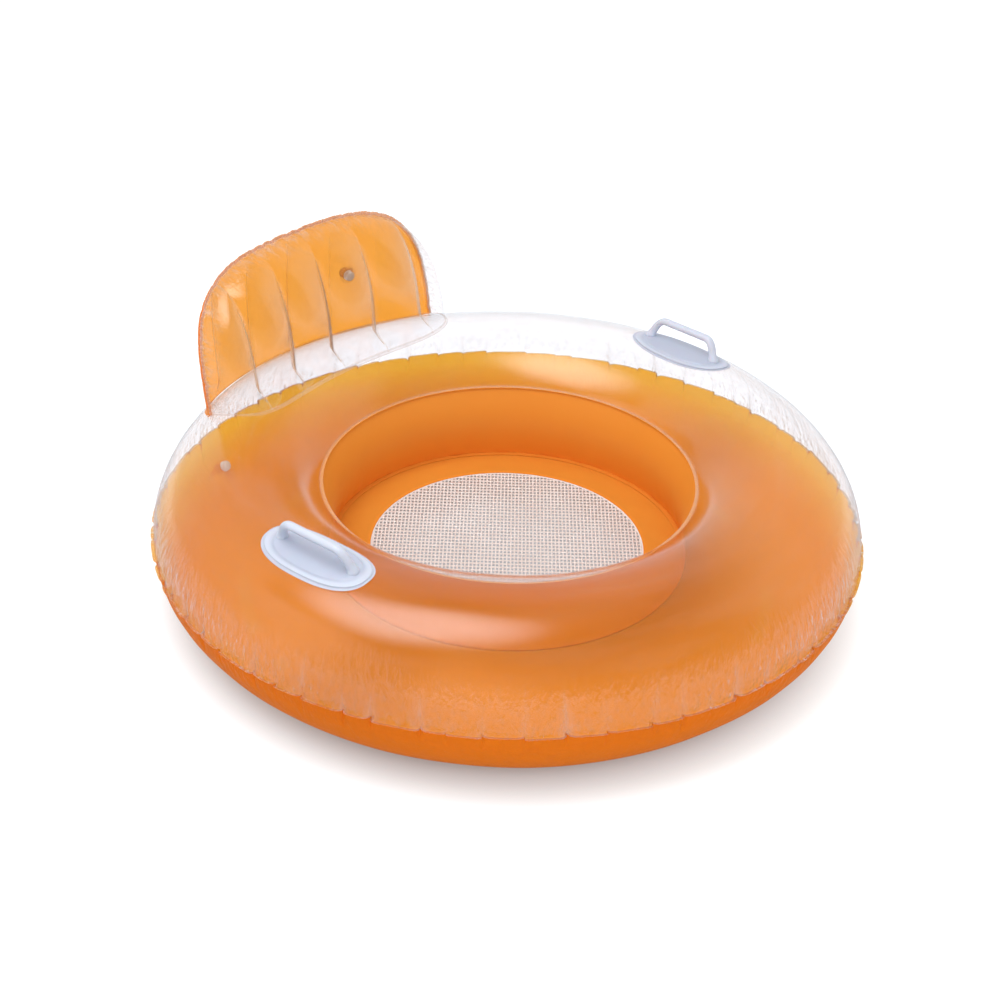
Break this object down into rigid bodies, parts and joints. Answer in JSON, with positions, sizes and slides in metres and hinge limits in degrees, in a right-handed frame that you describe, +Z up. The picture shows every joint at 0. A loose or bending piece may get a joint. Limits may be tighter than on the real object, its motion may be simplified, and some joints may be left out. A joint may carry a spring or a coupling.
{
  "type": "inflatable pool lounge chair",
  "caption": "Round inflatable pool lounger: clear-topped orange ring with a net seat floor, a ribbed pillow backrest, moulded grab handles and air valves that push in and unplug.",
  "frame": {"origin": "on the floor under the middle of the ring", "axes": "+Z up, +Y from the middle of the ring to the backrest, +X to the left handle"},
  "size_m": [1.074, 1.074, 0.4434],
  "materials": {
    "clear_film": "clear glossy vinyl film",
    "orange_film": "translucent glossy orange vinyl film",
    "white_net": "white woven mesh with a solid hem",
    "pale_blue_vinyl": "satin moulded vinyl",
    "milky_vinyl": "satin soft vinyl"
  },
  "bodies": {
    "hull": {"ring_top_sheet": "clear_film", "ring_bottom_sheet": "orange_film", "ring_inner_wall": "orange_film", "seat_floor_ring": "orange_film", "seat_net": "white_net", "backrest_front_sheet": "clear_film", "backrest_back_sheet": "orange_film", "backrest_rib_1": "clear_film", "backrest_rib_2": "clear_film", "backrest_rib_3": "clear_film", "backrest_rib_4": "clear_film", "backrest_rib_5": "clear_film", "left_handle": "pale_blue_vinyl", "left_handle_patch": "clear_film", "right_handle": "pale_blue_vinyl", "right_handle_patch": "clear_film", "ring_valve_base": "milky_vinyl", "backrest_valve_base": "milky_vinyl"},
    "ring_valve_stem": {"ring_valve_stem": "milky_vinyl", "ring_valve_strap": "milky_vinyl"},
    "ring_valve_plug": {"ring_valve_plug": "milky_vinyl"},
    "ring_valve_flap": {"ring_valve_flap": "milky_vinyl"},
    "backrest_valve_stem": {"backrest_valve_stem": "milky_vinyl", "backrest_valve_strap": "milky_vinyl"},
    "backrest_valve_plug": {"backrest_valve_plug": "milky_vinyl"},
    "backrest_valve_flap": {"backrest_valve_flap": "milky_vinyl"}
  },
  "joints": [
    {"name": "ring_valve_stem_slide", "type": "slide", "parent": "hull", "child": "ring_valve_stem", "axis": [0.2289, -0.7946, 0.5624], "range_m": [0, 0.0102]},
    {"name": "ring_valve_plug_slide", "type": "slide", "parent": "ring_valve_stem", "child": "ring_valve_plug", "axis": [-0.2289, 0.7946, -0.5624], "range_m": [0, 0.014]},
    {"name": "ring_valve_flap_hinge", "type": "hinge", "parent": "ring_valve_stem", "child": "ring_valve_flap", "pos_m": [-0.13396, 0.48593, 0.06221], "axis": [-0.1557, 0.5404, 0.8269], "range_deg": [0, 45], "stiffness_Nm_per_rad": 0.001},
    {"name": "backrest_valve_stem_slide", "type": "slide", "parent": "hull", "child": "backrest_valve_stem", "axis": [-0.2452, -0.9692, 0.0239], "range_m": [0, 0.0102]},
    {"name": "backrest_valve_plug_slide", "type": "slide", "parent": "backrest_valve_stem", "child": "backrest_valve_plug", "axis": [0.2452, 0.9692, -0.0239], "range_m": [0, 0.014]},
    {"name": "backrest_valve_flap_hinge", "type": "hinge", "parent": "backrest_valve_stem", "child": "backrest_valve_flap", "pos_m": [0.1271, 0.46649, 0.31497], "axis": [-0.0039, -0.0237, -0.9997], "range_deg": [0, 45], "stiffness_Nm_per_rad": 0.001}
  ]
}
